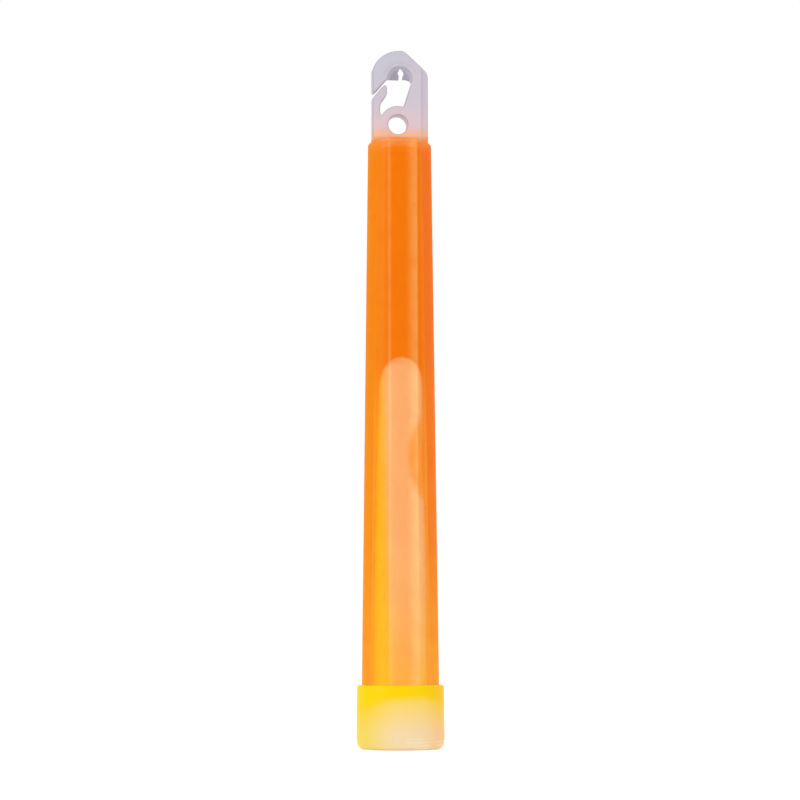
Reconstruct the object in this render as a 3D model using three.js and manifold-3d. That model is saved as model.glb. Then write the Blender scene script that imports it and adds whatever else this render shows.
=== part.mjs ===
// A 150 mm chemical light stick: a six-sided moulded tube with a hook on its closed end, a welded end
// cap, a glass ampoule snapped in two, the pale activator in it and the orange dye solution round it.
// Millimetres, +Z up along the stick. The origin is the centre of the face that the cap stands on, and
// the hook's flat front looks along -Y.
import * as THREE from 'three';
import { mergeVertices } from 'three/addons/utils/BufferGeometryUtils.js';
import Module from 'manifold-3d';

const wasm = await Module();
wasm.setup();

// Tube: the outside is a tapered round bar with six flats of one width
const tubeFoot = 1.9; // height where the wall stops, inside the cap
const tubeTop = 130.7; // the closed end's flat face
const tubeRadiusLow = 8.4; // over the round corners, at tubeFoot
const tubeRadiusHigh = 6.86; // the same, at tubeTop
const flatWidth = 6.34;
const wall = 1.3; // at the middle of a flat
const endWall = 1.8;
const shoulder = 1.05; // the closed end's chamfer
const flats = 6;
const roundSides = 60;
const boreSides = 32;

// The stretch that flexes when the stick is snapped
const flexLow = 52;
const flexHigh = 73;

// End cap
const capHeight = 13.6;
const capRadiusLow = 9.4;
const capRadiusHigh = 9.26;
const capEdge = 1.5; // round at the foot
const capLip = 0.35; // round at the top
const capSkirtBore = 8.55;
const plugTop = 10.6;
const plugRadius = 6.2;
const plugDish = 0.9; // depth of the dish that the ampoule stands in
const capRecess = { radius: 5, depth: 0.5, gateRadius: 0.9, gateHeight: 0.25 };

// Ampoule and liquids
const ampouleRadius = 4;
const ampouleWall = 0.4;
const ampouleFoot = plugTop - plugDish + 0.3;
const ampouleTop = 83.7;
const ampouleLean = 0.6; // how far it stands to the right of the axis
const lowerBreak = { left: 60.4, right: 54.5 }; // heights of the broken edges at each side
const upperBreak = { left: 63.7, right: 66.8 };
const tooth = { crest: 1.6, dip: -0.4, height: 0.5 }; // one tooth of a broken edge, from the ampoule's axis
const flakeEdge = 1.2; // how far right of its axis the ampoule lost a flake of glass
const fillTop = 127.4; // level of the dye solution, under a small bubble
const liquidGap = 0.15; // between a liquid and what holds it

// Hook tab
const tabHalf = 6;
const tabThickness = 4;
const tabTop = 150;
const hole = { x: -0.5, z: 133.9, radius: 2.1 };
const holeRim = 4.05; // radius of the ledge over the hole, under the hook's mouth
const arch = { x: -0.05, z: 143.85, radius: 2.7 };
const slot = { half: 0.42, bulge: 0.62, bulgeHeight: 145.35, top: 146.45 };
const webThickness = 1;
const gatePivot = { x: -5.03, z: 136.55 };
const gateRoot = 0.95; // radius of the finger's round root
const jointGap = 0.3;
const sideStep = { x: 4.55, depth: 0.3 }; // shallow step down the tab's right side

// Hook outline, as [x, height]
const crownLine = [
  [-tabHalf, 146],
  [-5.1, 147.5],
  [-3.7, 148.85],
  [-2.1, 149.65],
  [-0.4, tabTop],
  [0.9, 149.75],
];
const crownSteps = 16;
const slopeEnd = [4.6, 146.35];
const cornerCurve = [5.65, 145.4, tabHalf, 144.5]; // control point, then end
const archFoot = [2.62, 143.4];
const jawTip = [-5.15, 141.2];
const jawCurve = [-5.55, 140.75, -tabHalf, 141];
const ledgeEnds = { left: [-3.15, 2.55], right: [1.35, holeRim] }; // from the hole's centre
const rootCutEnd = -0.35; // radians round the gate's pivot

// Gate finger outline, as [x, height], from the foot of its slanted outer face
const fingerFoot = [-tabHalf, 139.6];
const fingerTip = [-3.75, 142.05];
const tipCurve = [-3.3, 142.55, -2.92, 142];
const palmTop = [-2.9, 140.7];
const palmCurve = [-3, 139.95, -3.5, 139.3];
const neckCurve = [-4.2, 138.5, gatePivot.x + gateRoot, 137.6];

// Cutting shapes
const spare = 1; // how far one reaches past the body that it cuts
const wide = 12; // half the width of one that cuts right across

const natural = { color: 0xcfcbd6, roughness: 0.42, metalness: 0 };
const looks = {
  polyethylene: new THREE.MeshStandardMaterial(natural),
  orangeWall: new THREE.MeshStandardMaterial({ ...natural, color: 0xf58420 }),
  glowingCap: new THREE.MeshStandardMaterial({ ...natural, color: 0xfbd88a }),
  glass: new THREE.MeshStandardMaterial({ color: 0xe9f1ee, roughness: 0.05, metalness: 0 }),
  activator: new THREE.MeshStandardMaterial({ color: 0xf9c48c, roughness: 0.1, metalness: 0 }),
  dye: new THREE.MeshStandardMaterial({ color: 0xf57d1e, roughness: 0.1, metalness: 0 }),
};

function solid(geometry) {
  const bare = geometry.clone();
  bare.deleteAttribute('normal');
  bare.deleteAttribute('uv');
  const merged = mergeVertices(bare, 1e-5);
  return new wasm.Manifold(new wasm.Mesh({
    numProp: 3,
    vertProperties: new Float32Array(merged.attributes.position.array),
    triVerts: new Uint32Array(merged.index.array),
  }));
}

function named(name, body, look) {
  const cut = body.getMesh();
  const geometry = new THREE.BufferGeometry();
  geometry.setAttribute('position', new THREE.BufferAttribute(cut.vertProperties, 3));
  geometry.setIndex(new THREE.BufferAttribute(cut.triVerts, 1));
  geometry.computeVertexNormals();
  const mesh = new THREE.Mesh(geometry, look);
  mesh.name = name;
  return mesh;
}

// An upright cone or prism between two heights
function taper(radiusLow, radiusHigh, low, high, sides) {
  const turned = new THREE.CylinderGeometry(radiusHigh, radiusLow, high - low, sides)
    .rotateX(Math.PI / 2)
    .translate(0, 0, (low + high) / 2);
  return solid(turned);
}

// A solid of revolution about Z from [radius, height] points, listed upwards along its outside
function turned(points, sides) {
  const outline = points.map(([radius, height]) => new THREE.Vector2(radius, height));
  return solid(new THREE.LatheGeometry(outline, sides).rotateX(Math.PI / 2));
}

// A plate in the XZ plane, centred on Y
function plate(outline, thickness) {
  const settings = { depth: thickness, bevelEnabled: false, curveSegments: 10 };
  const raised = new THREE.ExtrudeGeometry(outline, settings).rotateX(Math.PI / 2);
  return solid(raised.translate(0, thickness / 2, 0));
}

function outlineFrom(points) {
  return new THREE.Shape(points.map(([x, z]) => new THREE.Vector2(x, z)));
}

function rectangle(left, right, low, high) {
  return outlineFrom([[left, low], [right, low], [right, high], [left, high]]);
}

function disc(x, z, radius, thickness) {
  return plate(new THREE.Shape().absarc(x, z, radius, 0, 2 * Math.PI), thickness);
}

// Points of a quarter round from one angle to another, for a lathe profile
function quarter(centreRadius, centreHeight, radius, from, to, steps) {
  return Array.from({ length: steps + 1 }, (_, i) => {
    const angle = from + (to - from) * (i / steps);
    return [centreRadius + radius * Math.cos(angle), centreHeight + radius * Math.sin(angle)];
  });
}

function tubeRadius(height) {
  return THREE.MathUtils.mapLinear(height, tubeFoot, tubeTop, tubeRadiusLow, tubeRadiusHigh);
}

// Distance from the axis to the middle of a flat
function flatDistance(height) {
  return Math.sqrt(tubeRadius(height) ** 2 - (flatWidth / 2) ** 2);
}

function boreRadius(height) {
  return flatDistance(height) - wall;
}

function tubeBar(low, high) {
  const round = taper(tubeRadius(low), tubeRadius(high), low, high, roundSides);
  const overCorners = 1 / Math.cos(Math.PI / flats);
  const prism = taper(flatDistance(low) * overCorners, flatDistance(high) * overCorners, low, high, flats);
  return round.intersect(prism.rotate([0, 0, 180 / flats])); // a flat, not a corner, faces the front
}

function tubeBore(low, high) {
  return taper(boreRadius(low), boreRadius(high), low, high, boreSides);
}

function openTube(low, high) {
  return tubeBar(low, high).subtract(tubeBore(low - spare, high + spare));
}

function upperTube() {
  const topRadius = tubeRadius(tubeTop) - shoulder;
  const outerRadius = tubeRadius(flexHigh) + spare;
  const chamferFoot = tubeTop - shoulder - spare;
  const chamfer = turned([
    [0, flexHigh - spare],
    [outerRadius, flexHigh - spare],
    [outerRadius, chamferFoot],
    [topRadius + shoulder + spare, chamferFoot],
    [topRadius, tubeTop],
    [0, tubeTop],
  ], roundSides);
  return tubeBar(flexHigh, tubeTop)
    .intersect(chamfer)
    .subtract(tubeBore(flexHigh - spare, tubeTop - endWall));
}

function endCap() {
  return turned([
    [0, capRecess.depth - capRecess.gateHeight],
    [capRecess.gateRadius, capRecess.depth - capRecess.gateHeight],
    [capRecess.gateRadius, capRecess.depth],
    [capRecess.radius, capRecess.depth],
    [capRecess.radius, 0],
    ...quarter(capRadiusLow - capEdge, capEdge, capEdge, -Math.PI / 2, 0, 4),
    ...quarter(capRadiusHigh - capLip, capHeight - capLip, capLip, 0, Math.PI / 2, 2),
    [capSkirtBore, capHeight],
    [capSkirtBore, tubeFoot - jointGap],
    [plugRadius, tubeFoot - jointGap],
    [plugRadius, plugTop - 0.5],
    [plugRadius - 0.5, plugTop],
    [ampouleRadius + jointGap, plugTop],
    [ampouleRadius * 0.6, plugTop - plugDish * 0.75],
    [0, plugTop - plugDish],
  ], roundSides);
}

// A round-ended rod, flatter at its foot, for the ampoule's outside and its inside
function roundedRod(radius, foot, top) {
  const footRise = radius * 0.8;
  const footRound = quarter(0, 0, 1, -Math.PI / 2, 0, 4)
    .map(([across, up]) => [across * radius, foot + footRise * (1 + up)]);
  return turned([...footRound, ...quarter(0, top - radius, radius, 0, Math.PI / 2, 6)], boreSides);
}

// What stays below a slanted break that falls or climbs from left to right
function belowBreak({ left, right }) {
  const middle = (left + right) / 2;
  const slope = (right - left) / (2 * ampouleRadius);
  const at = (x, offset = 0) => [x, middle + slope * x + offset];
  const outline = outlineFrom([
    [-wide, 0],
    [wide, 0],
    at(wide),
    at(tooth.crest, tooth.height),
    at(tooth.dip, -tooth.height),
    at(-wide),
  ]);
  return plate(outline, 2 * wide);
}

function leaning(body) {
  return body.translate([ampouleLean, 0, 0]);
}

function ampouleShell() {
  const foot = ampouleFoot + ampouleWall;
  const inside = roundedRod(ampouleRadius - ampouleWall, foot, ampouleTop - ampouleWall);
  return roundedRod(ampouleRadius, ampouleFoot, ampouleTop).subtract(inside);
}

function activatorColumn() {
  const inset = ampouleWall + liquidGap;
  const column = roundedRod(ampouleRadius - inset, ampouleFoot + inset, ampouleTop - inset);
  const gap = belowBreak(upperBreak).subtract(belowBreak(lowerBreak));
  const flake = gap.intersect(plate(rectangle(flakeEdge, wide, 0, tubeTop), 2 * wide));
  return column.subtract(flake);
}

function dyeSolution() {
  const foot = plugTop + liquidGap;
  const [low, high] = [foot, fillTop].map((height) => boreRadius(height) - liquidGap);
  const hollow = roundedRod(ampouleRadius + liquidGap, ampouleFoot - liquidGap, ampouleTop + liquidGap);
  return taper(low, high, foot, fillTop, boreSides).subtract(leaning(hollow));
}

// The hook's outline, clockwise from the foot of its left side, with the gate finger left out
function hookOutline() {
  const crown = new THREE.SplineCurve(crownLine.map(([x, z]) => new THREE.Vector2(x, z)));
  const rootGap = gateRoot + jointGap;
  const leftCut = Math.acos((-tabHalf - gatePivot.x) / rootGap);
  const ledgeAngle = ([x, z]) => Math.atan2(z, x);
  const outline = new THREE.Shape().moveTo(-tabHalf, tubeTop - spare).lineTo(-tabHalf, tubeTop);
  outline.absarc(gatePivot.x, gatePivot.z, rootGap, -leftCut, rootCutEnd, false);
  outline.absarc(hole.x, hole.z, holeRim, ledgeAngle(ledgeEnds.left), ledgeAngle(ledgeEnds.right), true);
  outline.lineTo(...archFoot);
  outline.absarc(arch.x, arch.z, arch.radius, 0, Math.PI, false);
  outline.lineTo(...jawTip);
  outline.quadraticCurveTo(...jawCurve);
  crown.getPoints(crownSteps).forEach((point) => outline.lineTo(point.x, point.y));
  outline.lineTo(...slopeEnd);
  outline.quadraticCurveTo(...cornerCurve);
  outline.lineTo(tabHalf, tubeTop - spare);
  return outline;
}

// The thin web across the top of the arch, split by a keyhole that grips a cord
function gripWeb() {
  const reach = arch.radius + slot.half;
  const web = rectangle(-reach, reach, arch.z, arch.z + reach);
  const slit = rectangle(arch.x - slot.half, arch.x + slot.half, arch.z - spare, slot.top);
  return plate(web, webThickness)
    .subtract(plate(slit, tabThickness))
    .subtract(disc(arch.x, slot.bulgeHeight, slot.bulge, tabThickness));
}

function hookTab() {
  const step = plate(rectangle(sideStep.x, tabHalf + spare, tubeTop - spare, tabTop), tabThickness)
    .translate([0, sideStep.depth - tabThickness, 0]);
  const belowTop = taper(wide, wide, tubeTop - 2 * spare, tubeTop, roundSides);
  return plate(hookOutline(), tabThickness)
    .add(gripWeb())
    .subtract(disc(hole.x, hole.z, hole.radius, 2 * tabThickness))
    .subtract(step)
    .subtract(belowTop);
}

// The springy finger that closes the hook's mouth
function hookGate() {
  const outline = new THREE.Shape().moveTo(...fingerFoot);
  outline.lineTo(...fingerTip);
  outline.quadraticCurveTo(...tipCurve);
  outline.lineTo(...palmTop);
  outline.quadraticCurveTo(...palmCurve);
  outline.quadraticCurveTo(...neckCurve);
  outline.absarc(gatePivot.x, gatePivot.z, gateRoot, 0, -Math.PI, true);
  outline.lineTo(...fingerFoot);
  return plate(outline, tabThickness);
}

const stick = new THREE.Group();
stick.add(
  named('end_cap', endCap(), looks.glowingCap),
  named('tube_lower', openTube(tubeFoot, flexLow), looks.orangeWall),
  named('tube_flex_zone', openTube(flexLow, flexHigh), looks.orangeWall),
  named('tube_upper', upperTube(), looks.orangeWall),
  named('hook_tab', hookTab(), looks.polyethylene),
  named('hook_gate', hookGate(), looks.polyethylene),
  named('ampoule_lower', leaning(ampouleShell().intersect(belowBreak(lowerBreak))), looks.glass),
  named('ampoule_upper', leaning(ampouleShell().subtract(belowBreak(upperBreak))), looks.glass),
  named('activator_solution', leaning(activatorColumn()), looks.activator),
  named('dye_solution', dyeSolution(), looks.dye),
);

export default stick;
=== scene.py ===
import math
import bmesh
import bpy
import numpy as np
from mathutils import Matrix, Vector


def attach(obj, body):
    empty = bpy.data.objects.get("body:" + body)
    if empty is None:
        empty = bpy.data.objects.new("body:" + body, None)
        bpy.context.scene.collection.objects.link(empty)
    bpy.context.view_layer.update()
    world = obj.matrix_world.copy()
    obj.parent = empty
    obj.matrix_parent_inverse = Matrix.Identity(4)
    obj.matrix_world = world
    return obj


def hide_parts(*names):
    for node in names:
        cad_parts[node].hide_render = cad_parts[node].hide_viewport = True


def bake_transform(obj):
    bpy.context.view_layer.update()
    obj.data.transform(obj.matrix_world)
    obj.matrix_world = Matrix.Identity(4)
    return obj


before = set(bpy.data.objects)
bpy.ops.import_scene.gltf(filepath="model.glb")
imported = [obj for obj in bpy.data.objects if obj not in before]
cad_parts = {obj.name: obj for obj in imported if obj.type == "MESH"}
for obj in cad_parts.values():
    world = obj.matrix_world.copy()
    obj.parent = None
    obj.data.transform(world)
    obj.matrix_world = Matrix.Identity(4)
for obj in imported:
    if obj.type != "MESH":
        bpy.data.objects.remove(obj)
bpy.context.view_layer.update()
mm = 0.001
scene = bpy.context.scene


class Wire:
    # one socket of a node tree; sums on it add Math nodes
    def __init__(self, tree, socket):
        self.tree = tree
        self.socket = socket

    def maths(self, operation, *others):
        node = self.tree.nodes.new("ShaderNodeMath")
        node.operation = operation
        for place, value in enumerate((self, *others)):
            plug(self.tree, node.inputs[place], value)
        return Wire(self.tree, node.outputs[0])

    def flipped(self, operation, other):
        # the other value first and this one second
        node = self.tree.nodes.new("ShaderNodeMath")
        node.operation = operation
        plug(self.tree, node.inputs[0], other)
        plug(self.tree, node.inputs[1], self)
        return Wire(self.tree, node.outputs[0])

    def __add__(self, other):
        return self.maths("ADD", other)

    def __radd__(self, other):
        return self.maths("ADD", other)

    def __sub__(self, other):
        return self.maths("SUBTRACT", other)

    def __rsub__(self, other):
        return self.flipped("SUBTRACT", other)

    def __mul__(self, other):
        return self.maths("MULTIPLY", other)

    def __rmul__(self, other):
        return self.maths("MULTIPLY", other)


def plug(tree, socket, value):
    if isinstance(value, Wire):
        tree.links.new(value.socket, socket)
    else:
        socket.default_value = value


class Finish:
    # a material and its node tree
    def __init__(self, name):
        self.material = bpy.data.materials.new(name)
        self.material.use_nodes = True
        self.tree = self.material.node_tree
        self.tree.nodes.clear()

    def add(self, kind, settings, inputs, out=0):
        node = self.tree.nodes.new("ShaderNode" + kind)
        for name, value in settings.items():
            setattr(node, name, value)
        for name, value in inputs.items():
            plug(self.tree, node.inputs[name], value)
        return Wire(self.tree, node.outputs[out])

    def place(self):
        # the point of the surface at rest, in millimetres
        return self.add("Attribute", {"attribute_name": "restPlace"}, {}, "Vector")

    def axis(self, letter, vector):
        return self.add("SeparateXYZ", {}, {"Vector": vector}, letter)

    def fade(self, value, low, high):
        # 0 below low, 1 above high, smooth between
        return self.add("MapRange", {"interpolation_type": "SMOOTHSTEP"},
                        {"Value": value, "From Min": low, "From Max": high})

    def mix(self, share, first, second):
        # the Mix node keeps its colour sockets behind those for numbers
        first, second = (colour if isinstance(colour, Wire) else (*colour, 1) for colour in (first, second))
        return self.add("Mix", {"data_type": "RGBA"}, {0: share, 6: first, 7: second}, 2)

    def noise(self, scale, vector, detail=2.0):
        return self.add("TexNoise", {}, {"Vector": vector, "Scale": scale, "Detail": detail})

    def bump(self, height, strength, distance):
        return self.add("Bump", {}, {"Height": height, "Strength": strength, "Distance": distance})

    def surface(self, shader):
        output = self.tree.nodes.new("ShaderNodeOutputMaterial")
        self.tree.links.new(shader.socket, output.inputs["Surface"])
        return self.material


def srgb(red, green, blue):
    # an 8-bit screen colour as linear light
    shares = [value / 255 for value in (red, green, blue)]
    return tuple(share / 12.92 if share <= 0.04045 else ((share + 0.055) / 1.055) ** 2.4 for share in shares)


def meshObject(name, points, faces):
    mesh = bpy.data.meshes.new(name)
    mesh.from_pydata([Vector(p) * mm for p in points], [], faces)
    mesh.update()
    made = bpy.data.objects.new(name, mesh)
    scene.collection.objects.link(made)
    return made


def shadeSmooth(made, degrees):
    mesh = made.data
    mesh.polygons.foreach_set("use_smooth", [True] * len(mesh.polygons))
    mesh.set_sharp_from_angle(angle=math.radians(degrees))
    return made


def finished(made, materials, replacing):
    # materials, the stored rest points that they read, and what the piece stands for
    indices = [polygon.material_index for polygon in made.data.polygons]
    made.data.materials.clear()
    for material in materials:
        made.data.materials.append(material)
    made.data.polygons.foreach_set("material_index", indices)
    points = np.empty(len(made.data.vertices) * 3, "f")
    made.data.vertices.foreach_get("co", points)
    stored = made.data.attributes.new("restPlace", "FLOAT_VECTOR", "POINT")
    stored.data.foreach_set("vector", points / mm)
    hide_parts(*replacing)
    return made


def ringLoft(name, rings):
    # rings of equal length joined by quads; a ring with one point is a pole
    points = []
    starts = []
    faces = []
    for ring in rings:
        starts.append(len(points))
        points.extend(ring)
    for lower, upper, a, b in zip(rings, rings[1:], starts, starts[1:]):
        if len(lower) == 1:
            faces += [(a, b + i, b + (i + 1) % len(upper)) for i in range(len(upper))]
        elif len(upper) == 1:
            faces += [(a + i, b, a + (i + 1) % len(lower)) for i in range(len(lower))]
        else:
            n = len(lower)
            faces += [(a + i, b + i, b + (i + 1) % n, a + (i + 1) % n) for i in range(n)]
    made = meshObject(name, points, faces)
    facingOut(made)
    return made


def facingOut(made):
    shape = bmesh.new()
    shape.from_mesh(made.data)
    bmesh.ops.recalc_face_normals(shape, faces=shape.faces)
    shape.to_mesh(made.data)
    shape.free()


def boxObject(name, low, high):
    (x0, y0, z0), (x1, y1, z1) = low, high
    points = [(x, y, z) for z in (z0, z1) for x, y in ((x0, y0), (x1, y0), (x1, y1), (x0, y1))]
    faces = [(0, 3, 2, 1), (4, 5, 6, 7), (0, 1, 5, 4), (1, 2, 6, 5), (2, 3, 7, 6), (3, 0, 4, 7)]
    return meshObject(name, points, faces)


def circle(radius, height, sides):
    # at no radius, a single point
    if radius == 0:
        return [(0, 0, height)]
    turns = [2 * math.pi * i / sides for i in range(sides)]
    return [(radius * math.cos(t), radius * math.sin(t), height) for t in turns]


def arc(centreX, centreZ, radius, start, end, steps):
    # points of a round stretch, its angles in degrees
    angles = [math.radians(start + (end - start) * i / steps) for i in range(steps + 1)]
    return [(centreX + radius * math.cos(a), centreZ + radius * math.sin(a)) for a in angles]


def plateFrom(name, outlines, thickness, edge, steps=3):
    # an upright plate with rounded edges, from closed outlines in X and Z; later outlines are holes
    curve = bpy.data.curves.new(name, "CURVE")
    curve.dimensions = "2D"
    curve.fill_mode = "BOTH"
    curve.extrude = (thickness / 2 - edge) * mm
    curve.bevel_depth = edge * mm
    curve.bevel_resolution = steps
    curve.offset = -edge * mm
    for outline in outlines:
        spline = curve.splines.new("POLY")
        spline.points.add(len(outline) - 1)
        for point, (x, z) in zip(spline.points, outline):
            point.co = (x * mm, z * mm, 0, 1)
        spline.use_cyclic_u = True
    holder = bpy.data.objects.new(name + "Curve", curve)
    scene.collection.objects.link(holder)
    bpy.context.view_layer.update()
    mesh = bpy.data.meshes.new_from_object(holder.evaluated_get(bpy.context.evaluated_depsgraph_get()))
    bpy.data.objects.remove(holder)
    shape = bmesh.new()
    shape.from_mesh(mesh)
    bmesh.ops.remove_doubles(shape, verts=shape.verts, dist=0.002 * mm)
    for vert in shape.verts:
        x, z, depth = vert.co
        vert.co = (x, -depth, z)
    bmesh.ops.recalc_face_normals(shape, faces=shape.faces)
    shape.to_mesh(mesh)
    shape.free()
    made = bpy.data.objects.new(name, mesh)
    scene.collection.objects.link(made)
    return made


def joined(base, other, operation="UNION"):
    # base with other added or cut away; other is used up
    modifier = base.modifiers.new("join", "BOOLEAN")
    modifier.operation = operation
    modifier.solver = "EXACT"
    modifier.object = other
    bpy.context.view_layer.update()
    mesh = bpy.data.meshes.new_from_object(base.evaluated_get(bpy.context.evaluated_depsgraph_get()))
    base.modifiers.clear()
    base.data = mesh
    bpy.data.objects.remove(other)
    return base


# camera, in millimetres and degrees

view = {"turn": -6.0, "distance": 640, "height": 28, "aim": 74.5, "lens": 134.5, "roll": -0.1}


def makeCamera():
    turn = math.radians(view["turn"])
    data = bpy.data.cameras.new("camera")
    data.lens = view["lens"]
    data.sensor_width = 36
    data.clip_start = 0.02
    camera = bpy.data.objects.new("camera", data)
    scene.collection.objects.link(camera)
    spot = Vector((math.sin(turn), -math.cos(turn), 0)) * view["distance"] * mm
    spot.z = view["height"] * mm
    camera.location = spot
    aim = Vector((0, 0, view["aim"] * mm))
    camera.rotation_euler = (aim - spot).to_track_quat("-Z", "Y").to_euler()
    camera.rotation_euler.rotate_axis("Z", math.radians(view["roll"]))
    scene.camera = camera


makeCamera()
print("camera placed")

# tube and hook, one moulding of six flats with a round bore

tube = {
    "foot": 1.9, "top": 130.7, "radiusLow": 8.4, "radiusHigh": 6.86, "flat": 6.34, "wall": 1.3,
    "endWall": 1.8, "shoulder": 1.15, "softness": 0.12, "flatReach": 28.5, "step": 1.6,
    "flexFoot": 49.5, "flexHead": 75.5,
}


def tubeRadius(z):
    share = (z - tube["foot"]) / (tube["top"] - tube["foot"])
    return tube["radiusLow"] + (tube["radiusHigh"] - tube["radiusLow"]) * share


def flatDistance(z):
    return math.sqrt(tubeRadius(z) ** 2 - (tube["flat"] / 2) ** 2)


def sixFlats(z, inset=0.0):
    # the outline at one height, with points gathered at each flat's edges
    radius = tubeRadius(z) - inset
    flat = flatDistance(z) - inset
    edge = min(tube["flatReach"], math.degrees(math.acos(flat / radius)))
    corner = 30 - edge
    half = [edge * 0.35, edge * 0.7, edge - 1.3, edge, edge + corner * 0.25, edge + corner * 0.6]
    spread = [-30, *[-lean for lean in reversed(half)], 0, *half]
    ring = []
    for side in range(6):
        for lean in spread:
            across = flat / math.cos(math.radians(lean))
            gap = (across - radius) / tube["softness"]
            soft = min(across, radius) - tube["softness"] * math.log1p(math.exp(-abs(gap)))
            angle = math.radians(-90 + 60 * side + lean)
            ring.append((soft * math.cos(angle), soft * math.sin(angle), z))
    return ring


def spacedHeights(low, high, step):
    count = max(1, round((high - low) / step))
    return [low + (high - low) * i / count for i in range(count + 1)]


def tubeBody():
    # from the bore's lid down the bore, round the foot, up the flats and over the shoulder
    top = tube["top"]
    edge = tube["shoulder"]
    sides = len(sixFlats(top))
    boreTop = top - tube["endWall"]
    inner = [(0, 0), (2.5, 0), (4.0, -0.1), (4.55, -0.45)]
    rings = [circle(r, boreTop + drop, sides) for r, drop in inner]
    bore = [circle(flatDistance(z) - tube["wall"], z, sides)
            for z in spacedHeights(tube["foot"] + 0.2, boreTop - 1.0, tube["step"])]
    rings += bore[::-1]
    rings.append(circle(flatDistance(tube["foot"]) - tube["wall"] + 0.2, tube["foot"], sides))
    rings += [sixFlats(tube["foot"], 0.2)]
    rings += [sixFlats(z) for z in spacedHeights(tube["foot"] + 0.25, top - edge - 0.25, tube["step"])]
    shoulder = [(0.05, 1.05), (0.2, 0.88), (0.5, 0.57), (0.8, 0.3), (1.05, 0.14), (1.4, 0.04), (1.8, 0)]
    for inset, drop in [*shoulder, (2.6, 0), (4.4, 0)]:
        rings.append([(x, y, top - drop) for x, y, _ in sixFlats(top - drop, inset)])
    rings.append([(0, 0, top)])
    # the round rings start where the six-sided ones do
    turn = math.radians(-120)
    for ring in rings[1:len(inner) + len(bore) + 1]:
        ring[:] = [(x * math.cos(turn) - y * math.sin(turn), x * math.sin(turn) + y * math.cos(turn), z)
                   for x, y, z in ring]
    return ringLoft("stickMoulding", rings)


hook = {
    "half": 6.0, "thickness": 4.0, "edge": 0.32, "foot": 129.6, "holeX": -0.5, "holeZ": 133.9,
    "holeRadius": 2.1, "rim": 4.05, "archX": -0.05, "archZ": 143.85, "archRadius": 2.7,
    "webThickness": 1.0, "slit": 0.4, "slitX": 0.15, "bulge": 0.62, "bulgeX": 0.3, "bulgeZ": 145.3,
    "stepX": 4.55, "stepDepth": 0.16, "stepFoot": 131.2,
}


def smoothLine(points, steps):
    # a Catmull-Rom line through the points
    line = []
    padded = [points[0], *points, points[-1]]
    for a, b, c, d in zip(padded, padded[1:], padded[2:], padded[3:]):
        for i in range(steps):
            t = i / steps
            line.append(tuple(
                0.5 * (2 * b[k] + (c[k] - a[k]) * t + (2 * a[k] - 5 * b[k] + 4 * c[k] - d[k]) * t * t
                       + (3 * b[k] - a[k] - 3 * c[k] + d[k]) * t ** 3) for k in (0, 1)))
    return [*line, points[-1]]


def hookOutline():
    # up the left side, over the ledge, round the arch to the jaw, then over the crown
    half = hook["half"]
    crown = smoothLine([(-half, 145.6), (-5.2, 147.4), (-3.7, 148.85), (-2.1, 149.65), (-0.4, 149.95),
                        (0.75, 149.82), (2.25, 148.6), (4.6, 146.4), (5.7, 145.2), (half, 144.2)], 6)
    ledge = arc(hook["holeX"], hook["holeZ"], hook["rim"], 140, 71.5, 14)
    archLine = arc(hook["archX"], hook["archZ"], hook["archRadius"], -9, 178, 26)
    jaw = smoothLine([(-5.05, 141.3), (-5.35, 141.0), (-5.75, 140.85), (-6.0, 141.2)], 4)
    return [(-half, hook["foot"]), (-half, 136.2), (-4.2, 136.2), (-4.1, 135.95), (-3.9, 135.95), *ledge,
            *archLine, *jaw, *crown, (half, hook["foot"])]


def webOutline():
    # the two thin webs under the arch, either side of a slit that widens near its top
    reach = hook["archRadius"] + 0.5
    x, z = hook["archX"], hook["archZ"]
    slitX, bulgeX = hook["slitX"], hook["bulgeX"]
    right = [(slitX + hook["slit"], z + 0.1), *arc(bulgeX, hook["bulgeZ"], hook["bulge"], -50, 50, 8),
             (slitX + 0.2, z + hook["archRadius"] - 0.1), (slitX + 0.2, z + reach), (x + reach, z + reach),
             (x + reach, z - 0.8), (x + 2.55, z - 0.75), (x + 2.2, z - 0.2), (x + 1.5, z + 0.05)]
    left = [(slitX - hook["slit"], z), *arc(bulgeX, hook["bulgeZ"], hook["bulge"] + 0.1, 225, 130, 8),
            (slitX - 0.2, z + hook["archRadius"] - 0.1), (slitX - 0.2, z + reach), (x - reach, z + reach),
            (x - reach, z)]
    return right, left


def makeMoulding():
    body = tubeBody()
    holeLine = arc(hook["holeX"], hook["holeZ"], hook["holeRadius"], 0, 360, 48)[:-1]
    tab = plateFrom("tab", [hookOutline(), holeLine], hook["thickness"], hook["edge"])
    body = joined(body, tab)
    for index, side in enumerate(webOutline()):
        body = joined(body, plateFrom(f"web{index}", [side], hook["webThickness"], 0.15, 2))
    # a shallow step down the right of the front, cut by a box that reaches past the tab
    low, high = (hook["stepX"], -3, hook["stepFoot"]), (7, hook["stepDepth"] - hook["thickness"] / 2, 151)
    return shadeSmooth(joined(body, boxObject("step", low, high), "DIFFERENCE"), 28)


def markBore(made):
    # the bore's faces take the second material
    for polygon in made.data.polygons:
        x, y, z = (value / mm for value in polygon.center)
        across = math.hypot(x, y)
        nx, ny, nz = polygon.normal
        inward = across > 0.5 and (nx * x + ny * y) / across < -0.5
        lid = nz < -0.5 and z > tube["foot"] + 1
        inside = z < tube["top"] - tube["endWall"] + 0.2 and across < flatDistance(z) - tube["wall"] + 0.1
        polygon.material_index = int(inside and (inward or lid))


moulding = makeMoulding()
markBore(moulding)
print("tube and hook made", len(moulding.data.polygons))

# gate finger; on the real hook it is held by its root and springs from there

gate = {
    "thickness": 3.86, "edge": 0.3, "left": -5.97, "rootLow": 135.7, "rootX": -5.0,
    "stiffTo": 136.1, "freeFrom": 138.3,
}


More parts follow.
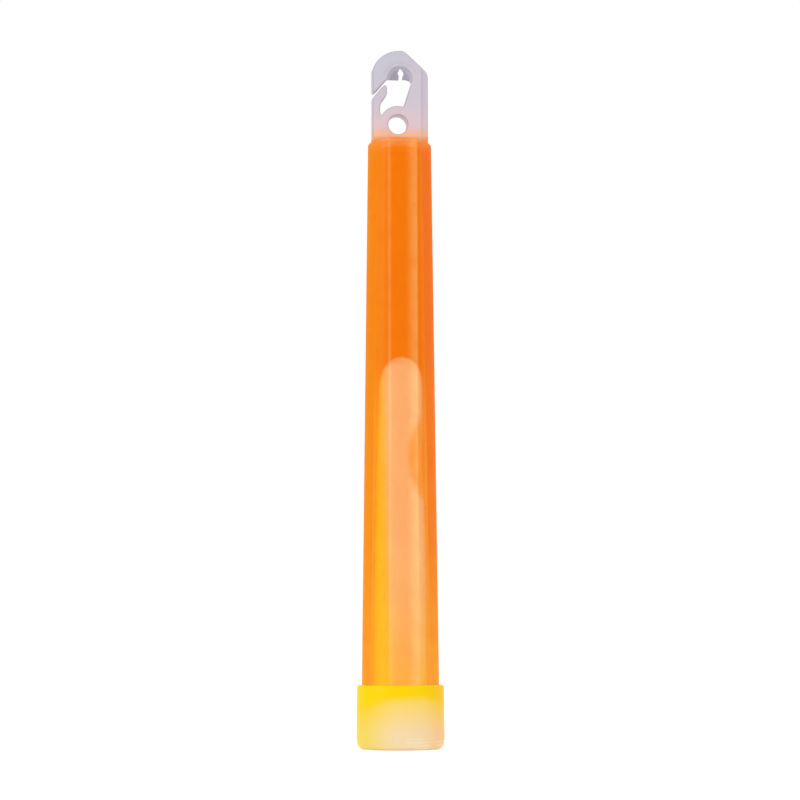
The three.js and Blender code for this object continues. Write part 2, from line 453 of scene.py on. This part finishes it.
def makeGate():
    # the nose runs up the outside, over the tip and down the inside to the root
    nose = smoothLine([(gate["left"], 139.55), (-5.0, 140.75), (-3.95, 141.95), (-3.3, 142.42),
                       (-2.95, 142.1), (-2.87, 141.3), (-2.92, 140.5), (-3.3, 139.75), (-3.85, 139.05),
                       (-4.25, 138.3), (-4.38, 137.4), (-4.36, 136.6), (-4.25, gate["rootLow"])], 5)
    outline = [(gate["left"], gate["rootLow"]), (gate["left"], 137.5), *nose]
    return shadeSmooth(plateFrom("gateFinger", [outline], gate["thickness"], gate["edge"]), 28)


gateFinger = makeGate()
print("gate finger made")

# end cap

cap = {
    "height": 13.6, "low": 9.4, "high": 9.26, "foot": 1.5, "lip": 0.38, "skirtBore": 8.6,
    "groove": 1.6, "plugRadius": 6.2, "plugTop": 10.6, "dish": 0.9, "recess": 5.0, "recessDepth": 0.5,
    "gateRadius": 0.9, "gateHeight": 0.25, "ledge": 1.95, "ledgeDepth": 0.1, "sides": 128,
}


def capProfile():
    # radius and height, from the underside's middle out, up the skirt, down its bore and over the plug
    floor = cap["recessDepth"]
    dot = floor - cap["gateHeight"]
    low, high, top = cap["low"] - cap["ledgeDepth"], cap["high"], cap["height"]
    bore, plugRadius, plugTop, groove = cap["skirtBore"], cap["plugRadius"], cap["plugTop"], cap["groove"]
    points = [(0, dot), (cap["gateRadius"] - 0.15, dot), (cap["gateRadius"], floor - 0.05),
              (cap["gateRadius"] + 0.2, floor), (cap["recess"] - 0.35, floor),
              (cap["recess"] - 0.08, floor - 0.12), (cap["recess"], 0.08), (cap["recess"] + 0.12, 0)]
    points += arc(low - cap["foot"], cap["foot"], cap["foot"], -90, 0, 8)
    points += [(low, cap["ledge"] - 0.1), (cap["low"], cap["ledge"] + 0.1)]
    for height in spacedHeights(2.6, top - cap["lip"], 1.0):
        points.append((cap["low"] + (high - cap["low"]) * (height - 2) / (top - 2), height))
    points += arc(high - cap["lip"], top - cap["lip"], cap["lip"], 15, 90, 5)
    points += [(bore + 0.12, top), (bore, top - 0.12), (bore, 11), (bore, 8), (bore, 5), (bore, 2.4)]
    points += [(bore - 0.2, groove), (plugRadius + 0.2, groove), (plugRadius, 2.2), (plugRadius, 5)]
    points += [(plugRadius, 8), (plugRadius, plugTop - 0.5), (plugRadius - 0.15, plugTop - 0.15)]
    points += [(plugRadius - 0.5, plugTop), (4.4, plugTop), (3.9, plugTop - 0.2)]
    points += [(2.2, plugTop - cap["dish"] * 0.8), (0, plugTop - cap["dish"])]
    return points


endCap = shadeSmooth(ringLoft("endCap", [circle(r, z, cap["sides"]) for r, z in capProfile()]), 35)
print("end cap made")

# ampoule, snapped in two; it leans a little to the right

ampoule = {
    "radius": 4.0, "wall": 0.4, "foot": 10.0, "top": 83.7, "lean": 0.25, "footSquat": 0.8,
    "sides": 72, "endSteps": 8, "sideSteps": 12,
}


def brokenEdge(low, high, teeth):
    # the height of a broken edge round the glass, from low at the right to high at the left
    def height(turn):
        jag = sum(0.3 / n * math.sin(n * 3 * turn + n * n + teeth) for n in (1, 2, 3, 5))
        return (low + high) / 2 - (high - low) / 2 * math.cos(turn) + jag
    return height


def ampouleHalf(name, edge, upwards):
    # two skins of glass, from the round end to the broken edge and back
    sides = ampoule["sides"]
    end = ampoule["foot"] if upwards else ampoule["top"]
    way = 1 if upwards else -1
    squat = ampoule["footSquat"] if upwards else 1.0
    endSteps, sideSteps = ampoule["endSteps"], ampoule["sideSteps"]
    turns = [2 * math.pi * i / sides for i in range(sides)]

    def skin(radius, inset):
        rings = [[(0, 0, end + way * inset)]]
        for i in range(1, endSteps + 1):
            lean = math.pi / 2 * i / endSteps
            height = end + way * (inset + radius * squat * (1 - math.cos(lean)))
            rings.append(circle(radius * math.sin(lean), height, sides))
        start = end + way * (inset + radius * squat)
        for i in range(1, sideSteps + 1):
            rings.append([(radius * math.cos(t), radius * math.sin(t),
                           start + (edge(t) - start) * i / sideSteps) for t in turns])
        return rings

    rings = skin(ampoule["radius"], 0) + skin(ampoule["radius"] - ampoule["wall"], ampoule["wall"])[::-1]
    moved = [[(x + ampoule["lean"], y, z) for x, y, z in ring] for ring in rings]
    return shadeSmooth(ringLoft(name, moved), 40)


ampouleLower = ampouleHalf("ampouleLower", brokenEdge(54.5, 60.4, 0.4), True)
ampouleUpper = ampouleHalf("ampouleUpper", brokenEdge(66.8, 63.7, 2.0), False)
print("ampoule halves made")

# liquids

liquid = {
    "foot": 10.75, "top": 127.4, "gap": 0.12, "film": 0.1, "crown": 0.12, "crownX": 0.5, "sides": 72,
}
glowShape = {
    "height": [10.9, 14, 24, 35, 43, 53, 60, 66, 71, 77, 79.6, 81.8, 83.2, 83.8],
    "left": [-5.6, -6.1, -6.0, -5.8, -5.7, -5.4, -5.2, -5.0, -4.8, -4.7, -4.3, -3.3, -1.9, -0.6],
    "right": [5.6, 6.1, 6.1, 6.0, 5.7, 5.3, 5.2, 5.2, 4.98, 5.0, 4.8, 4.1, 2.9, 1.6],
    "tongue": (5.3, -3.2, 62.0), "tongueReach": (4.6, 5.4, 9.2),
}


def glowRing(z, spare):
    # the lit liquid's outline at a height, or that of the hollow round it
    limit = flatDistance(z) - tube["wall"] - liquid["gap"] - 2 * liquid["film"] + spare
    left = max(np.interp(z, glowShape["height"], glowShape["left"]) - spare, -limit)
    right = min(np.interp(z, glowShape["height"], glowShape["right"]) + spare, limit)
    middle, half = (left + right) / 2, (right - left) / 2
    depth = min(half + 0.2, limit)
    turns = [2 * math.pi * i / liquid["sides"] for i in range(liquid["sides"])]
    return [(middle + half * math.cos(t), depth * math.sin(t), z) for t in turns]


def makeGlow():
    heights = spacedHeights(glowShape["height"][0], glowShape["height"][-1], 0.8)
    crown = (liquid["crownX"], 0, heights[-1] + liquid["crown"])
    rings = [[(0, 0, heights[0])], *[glowRing(z, 0) for z in heights], [crown]]
    return shadeSmooth(ringLoft("activatorSolution", rings), 60)


def makeDye():
    # from the top of the hollow down inside, under the foot, up the bore and across the level
    film = liquid["film"]
    heights = spacedHeights(glowShape["height"][0], glowShape["height"][-1], 1.2)
    crown = (liquid["crownX"], 0, heights[-1] + liquid["crown"] + film)
    rings = [[crown], *[glowRing(z, film) for z in heights[::-1]]]
    reach = [(flatDistance(z) - tube["wall"] - liquid["gap"], z)
             for z in spacedHeights(liquid["foot"], liquid["top"], 2)]
    rings += [circle(r, z, liquid["sides"]) for r, z in reach]
    rings += [circle(reach[-1][0] * share, liquid["top"] - drop, liquid["sides"])
              for share, drop in ((0.93, 0.25), (0.8, 0.38), (0.5, 0.42), (0, 0.42))]
    return shadeSmooth(ringLoft("dyeSolution", rings), 60)


glow = makeGlow()
dye = makeDye()
print("liquids made")

# finishes

orange = {"wall": srgb(247, 123, 8), "paintedHighlight": srgb(255, 182, 100), "side": srgb(240, 104, 2),
          "deep": srgb(240, 121, 6), "low": srgb(252, 172, 44), "paintedLitLeft": srgb(240, 145, 14)}


def lit(finish, colour, paintedGlow, lighting, extra):
    # one shader for plastic or liquid with a painted glow: the colour is shared between an emission that
    # stands in for light coming through the translucent body and the room's light
    black = (0, 0, 0)
    return finish.add("BsdfPrincipled", {}, {
        "Base Color": finish.mix(lighting, black, colour), "Specular IOR Level": 0.05,
        "Emission Color": finish.mix(paintedGlow, black, colour), "Emission Strength": 1.0, **extra})


def tabColour(finish, place):
    # pale lavender, pink towards the foot and peach where the tube's light reaches it
    x, y, z = (finish.axis(letter, place) for letter in "XYZ")
    colour = finish.mix(finish.fade(z, 132.1, 133.6), srgb(244, 192, 162), srgb(224, 200, 206))
    colour = finish.mix(finish.fade(z, 133.5, 141), colour, srgb(207, 199, 209))
    colour = finish.mix(finish.fade(z - x * 0.8, 143, 151) * 0.6, colour, srgb(198, 200, 214))
    up, along = z - hook["archZ"], x - hook["archX"]
    fromArch = (up * up + along * along).maths("SQRT")
    recess = (1 - finish.fade(y.maths("ABSOLUTE"), 0.6, 1.2)) * (1 - finish.fade(fromArch, 1.9, 2.4) * 0.85)
    ring = finish.fade(fromArch, 3.0, 3.3) * (1 - finish.fade(fromArch, 3.5, 4.4)) * finish.fade(up, 0.5, 1.5)
    shade = recess * 0.6 + finish.fade(x, 4.4, 4.6) * 0.1 + ring * 0.1
    colour = finish.mix(shade, colour, srgb(150, 142, 166))
    # painted shade: rounded edges and cut sides darker, less so round the arch
    facing = finish.axis("Y", finish.add("NewGeometry", {}, {}, "Normal")).maths("ABSOLUTE")
    cutSide = 1 - finish.fade(facing, 0.1, 0.4)
    edge = (1 - cutSide) * (1 - finish.fade(facing, 0.6, 0.97))
    edge = edge * (finish.fade(fromArch, 2.9, 3.4) * 0.7 + 0.3)
    return finish.mix(edge * 0.8 + cutSide * 0.2, colour, srgb(150, 128, 150))


def wallFinish():
    finish = Finish("polyethyleneWall")
    place = finish.place()
    x, y, z = (finish.axis(letter, place) for letter in "XYZ")
    # how far across its flat a point is, in millimetres from the middle
    sixth = math.radians(60)
    turn = x.maths("ARCTAN2", 0 - y) * (1 / sixth) + 0.5
    local = (turn.maths("FRACT") - 0.5) * sixth
    across = (x * x + y * y).maths("SQRT") * local.maths("SINE")
    # painted highlights: a broad pale stripe on one side of each flat and a thin line on the other, both
    # fainter at the sides
    wider = (1 - finish.fade(z, 12, 56)) * 0.9
    paintedHighlight = finish.fade(across, 0.4, 2.9) * (1 - finish.fade(across - wider, 3.05, 3.25))
    line = (1 - finish.fade(across, -3.0, -2.2)) * finish.fade(across, -3.25, -3.1)
    mottle = finish.noise(0.35, place, 3.0)
    faint = finish.fade(x.maths("ABSOLUTE"), 3.2, 3.4) * -0.85 + 1
    # painted glow: the wall paler and yellower towards the foot, more so on the right
    lower = (1 - finish.fade(z, 10, 52)) * (finish.fade(x, 2, 7) * 0.35 + 0.5)
    # painted light: the left side lighter and yellower
    colour = finish.mix(finish.fade(x, -6.5, -2.5), orange["paintedLitLeft"], orange["wall"])
    colour = finish.mix(lower + (1 - finish.fade(z, 40, 95)) * 0.2, colour, orange["low"])
    colour = finish.mix(finish.fade(z, 127.8, 130.6) * 0.5, colour, srgb(255, 176, 84))
    colour = finish.mix((paintedHighlight + line * 0.65) * faint, colour, orange["paintedHighlight"])
    colour = finish.mix(finish.fade(mottle, 0.35, 0.75) * 0.25, colour, orange["side"])
    isTab = finish.fade(z, 130.5, 131.6)
    colour = finish.mix(isTab, colour, tabColour(finish, place))
    rough = finish.noise(0.8, place, 3.0) * 0.15 + 0.28
    # the far side of the wall, seen from within, hides what is behind it, and gets more painted glow
    away = finish.add("NewGeometry", {}, {}, "Backfacing")
    shader = lit(finish, colour, 0.45 + away * 0.2, 0.38, {
        "Alpha": (0.5 + isTab * 0.42).maths("MAXIMUM", away), "Roughness": rough,
        "Normal": finish.bump(finish.noise(0.25, place), 0.25, 0.0006)})
    return finish.surface(shader)


def boreFinish():
    finish = Finish("boreWithPaintedGlow")
    finish.material.use_backface_culling = True
    place = finish.place()
    z = finish.axis("Z", place)
    cloud = finish.noise(0.12, place)
    # painted glow: the bore is lit almost wholly by emission, paler and yellower below the top of the lit
    # liquid
    colour = finish.mix(finish.fade(z, 66, 84), srgb(252, 172, 52), orange["deep"])
    colour = finish.mix(cloud * 0.3, colour, orange["wall"])
    away = finish.add("NewGeometry", {}, {}, "Backfacing")
    shader = lit(finish, colour, 0.95, 0.05, {"Alpha": 1 - away, "Roughness": 0.5})
    return finish.surface(shader)


def dyeFinish():
    finish = Finish("dyeLiquid")
    place = finish.place()
    colour = finish.mix(finish.noise(0.2, place), orange["deep"], orange["wall"])
    cloud = finish.noise(0.1, place, 1.0)
    shader = lit(finish, colour, 0.9, 0.1, {"Alpha": cloud * 0.1 + 0.12, "Roughness": 0.1})
    return finish.surface(shader)


def glowFinish():
    finish = Finish("activatorLiquid")
    place = finish.place()
    x, y, z = (finish.axis(letter, place) for letter in "XYZ")
    border = x + 2.6 + (z - 17) * 0.0175
    low = 1 - finish.fade(z, 16, 42)
    # painted highlight: the lit liquid paler towards both sides
    rim = finish.fade((x - 0.7).maths("ABSOLUTE"), 0.5, 3.6)
    centre = finish.mix(low, srgb(252, 222, 158), srgb(250, 194, 92))
    side = finish.mix(low, srgb(255, 244, 185), srgb(255, 232, 118))
    pale = finish.mix(rim * 0.6 + low * rim * 0.3, centre, side)
    streaks = finish.add("Mapping", {"vector_type": "POINT"}, {"Vector": place, "Scale": (1.6, 1.6, 0.12)})
    pale = finish.mix(finish.noise(1.0, streaks, 3.0) * 0.3, pale, srgb(255, 236, 205))
    pale = finish.mix((1 - finish.fade(z, 12, 20)) * 0.6, pale, srgb(255, 214, 40))
    colour = finish.mix(finish.fade(border, -1.1, 1.1), srgb(255, 230, 0), pale)
    # a tongue of the darker liquid mixes into the front of the right side
    away = 0
    for value, middle, reach in zip((x, y, z), glowShape["tongue"], glowShape["tongueReach"]):
        share = (value - middle) * (1 / reach)
        away = share * share + away
    unmixed = finish.fade(away.maths("SQRT"), 0.76, 1.12)
    colour = finish.mix(unmixed, srgb(243, 150, 12), colour)
    # the liquid shows less where it is thin, and at its top
    edge = finish.add("LayerWeight", {}, {"Blend": 0.5}, "Facing")
    level = 1 - finish.fade(z + (x - 0.4) * (x - 0.4) * 0.13, 82.8, 84.2) * 0.75
    shown = (0.85 - finish.fade(edge, 0.12, 0.95) * 0.84) * level
    shader = lit(finish, colour, 0.95, 0.05, {"Emission Strength": 1.15, "Alpha": shown, "Roughness": 0.3})
    return finish.surface(shader)


def glassFinish():
    finish = Finish("ampouleGlass")
    place = finish.place()
    # clear glass, with a painted glow standing in for the liquid's light coming through it
    wave = finish.noise(1.0, place)
    edge = finish.add("LayerWeight", {}, {"Blend": 0.5}, "Facing")
    shader = lit(finish, finish.mix(wave, srgb(255, 205, 140), srgb(255, 216, 160)), 0.85, 0.1, {
        "Alpha": 0.08 + finish.fade(edge, 0.45, 1.0) * 0.5, "Roughness": wave * 0.06 + 0.03})
    return finish.surface(shader)


def capFinish():
    finish = Finish("capWithPaintedGlow")
    place = finish.place()
    x, z = finish.axis("X", place), finish.axis("Z", place)
    wave = finish.noise(0.18, place)
    # painted glow: each side creamy low down and yellower higher up, yellower on the left and more peach on
    # the right, and deep yellow above the border near the top, where the liquid's light comes through
    height = finish.fade(z, 2.5, 10.5)
    left = finish.mix(height, srgb(244, 215, 90), srgb(254, 209, 26))
    middle = finish.mix(height, srgb(247, 219, 170), srgb(254, 216, 110))
    right = finish.mix(height, srgb(252, 198, 138), srgb(253, 202, 56))
    lower = finish.mix(finish.fade(x, -9.5, -1.0), left, middle)
    lower = finish.mix(finish.fade(x, 3.0, 9.5), lower, right)
    border = z + wave * 1.2 - 0.6 + (x - 1.5) * (x - 1.5) * 0.02
    top = finish.mix(finish.fade(x, 3.0, 9.0), srgb(254, 213, 0), srgb(254, 199, 30))
    colour = finish.mix(finish.fade(border, 9.6, 11.9), lower, top)
    # painted highlights: pale wavy streaks in patches round the foot, on the left side
    paintedGlintStreak = finish.add("TexWave", {"bands_direction": "Z", "wave_profile": "SIN"},
                        {"Vector": place, "Scale": 0.45, "Distortion": 2.5, "Detail": 3.0})
    patches = finish.fade(finish.noise(0.3, place, 1.0), 0.45, 0.65)
    foot = (1 - finish.fade(z, 1.6, 3.6)) * paintedGlintStreak * patches * finish.fade(x, -7.0, -1.0)
    colour = finish.mix(foot * 0.4, colour, srgb(255, 242, 215))
    # painted shade along the bottom edge
    colour = finish.mix((1 - finish.fade(z, 0.05, 0.6)) * 0.5, colour, srgb(214, 160, 110))
    shader = lit(finish, colour, 0.75, 0.17, {
        "Roughness": wave * 0.2 + 0.3, "Normal": finish.bump(finish.noise(0.3, place), 0.2, 0.0006)})
    return finish.surface(shader)


def gateFinish():
    finish = Finish("naturalPolyethylene")
    place = finish.place()
    shader = lit(finish, tabColour(finish, place), 0.45, 0.38, {
        "Alpha": 0.92, "Roughness": finish.noise(0.8, place) * 0.15 + 0.3,
        "Normal": finish.bump(finish.noise(0.4, place), 0.2, 0.0005)})
    return finish.surface(shader)


glass = glassFinish()
mouldingNodes = ["tube_lower", "tube_flex_zone", "tube_upper", "hook_tab"]
finished(moulding, [wallFinish(), boreFinish()], mouldingNodes)
finished(gateFinger, [gateFinish()], ["hook_gate"])
finished(endCap, [capFinish()], ["end_cap"])
finished(ampouleLower, [glass], ["ampoule_lower"])
finished(ampouleUpper, [glass], ["ampoule_upper"])
finished(glow, [glowFinish()], ["activator_solution"])
finished(dye, [dyeFinish()], ["dye_solution"])
print("finishes made")

# what each piece moves with

for bending in (moulding, glow, dye):
    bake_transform(bending)
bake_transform(gateFinger)
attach(endCap, "cap_end")
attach(ampouleLower, "cap_end")
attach(ampouleUpper, "loose_glass")
print("pieces placed on their bodies")

# studio, in metres and watts

studio = {
    "aim": (0, 0, 0.075), "floorHalf": 3.0, "paper": 0.5, "paperGlow": 0.52, "room": 1.0,
    "lamps": {"key": ((-0.85, -0.5, 0.4), (0.5, 0.7), 7.0), "strip": ((0.55, -0.75, 0.2), (0.08, 0.6), 1.2)},
}


def softLight(name, place, size, energy):
    light = bpy.data.lights.new(name, "AREA")
    light.shape = "RECTANGLE"
    light.size, light.size_y = size
    light.energy = energy
    lamp = bpy.data.objects.new(name, light)
    lamp.location = place
    lamp.rotation_euler = (Vector(studio["aim"]) - Vector(place)).to_track_quat("-Z", "Y").to_euler()
    scene.collection.objects.link(lamp)


def makeFloor():
    half = studio["floorHalf"] / mm
    floor = meshObject("floor", [(-half, -half, 0), (half, -half, 0), (half, half, 0), (-half, half, 0)],
                       [(0, 1, 2, 3)])
    finish = Finish("paper")
    grain = finish.noise(40.0, finish.add("TexCoord", {}, {}, "Object"))
    pale, paler = ((studio["paper"] + more,) * 3 for more in (0, 0.02))
    floor.data.materials.append(finish.surface(finish.add("BsdfPrincipled", {}, {
        "Base Color": finish.mix(grain * 0.2, pale, paler), "Roughness": 0.9,
        "Emission Color": (1, 1, 1, 1), "Emission Strength": studio["paperGlow"]})))


def makeRoom():
    world = bpy.data.worlds.new("world")
    world.use_nodes = True
    background = world.node_tree.nodes["Background"]
    background.inputs["Color"].default_value = (1, 1, 1, 1)
    background.inputs["Strength"].default_value = studio["room"]
    scene.world = world
    scene.view_settings.view_transform = "Standard"


makeFloor()
for lampName, (lampPlace, lampSize, lampEnergy) in studio["lamps"].items():
    softLight(lampName, lampPlace, lampSize, lampEnergy)
makeRoom()
print("studio made")
